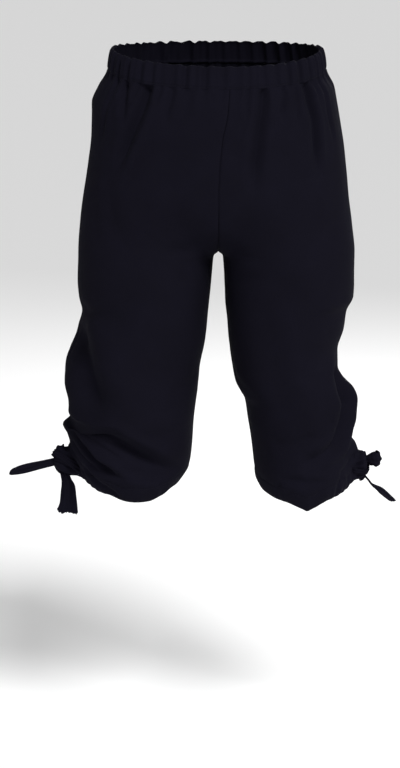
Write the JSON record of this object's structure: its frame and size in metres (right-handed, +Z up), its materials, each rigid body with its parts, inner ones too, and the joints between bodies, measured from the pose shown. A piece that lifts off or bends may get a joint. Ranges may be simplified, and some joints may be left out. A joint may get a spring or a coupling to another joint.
{
  "type": "knee breeches",
  "caption": "Loose knee-length breeches with a gathered elastic waist and drawn hems tied at the outer sides, standing open as if worn.",
  "frame": {"origin": "middle of the waist opening, level with the waist at the side seams", "axes": "+Z up towards the waist opening, front of the garment faces -Y, the wearer's left leg on +X"},
  "size_m": [0.5937, 0.2899, 0.7155],
  "materials": {
    "panel_cloth": "black plain-woven cotton, matt",
    "waist_cloth": "black plain-woven cotton, gathered on elastic",
    "hem_cloth": "black plain-woven cotton, two layers stitched",
    "tie_cloth": "black plain-woven cotton strip, creased"
  },
  "bodies": {
    "root": {"front_right": "panel_cloth", "front_left": "panel_cloth", "back_right": "panel_cloth", "back_left": "panel_cloth", "waist_casing": "waist_cloth", "hem_casing_right": "hem_cloth", "hem_casing_left": "hem_cloth", "tie_knot_right": "tie_cloth", "tie_knot_left": "tie_cloth", "tie_loop_left": "tie_cloth", "tie_tail_right_out": "tie_cloth", "tie_tail_right_down": "tie_cloth", "tie_tail_left_down": "tie_cloth"}
  },
  "joints": []
}
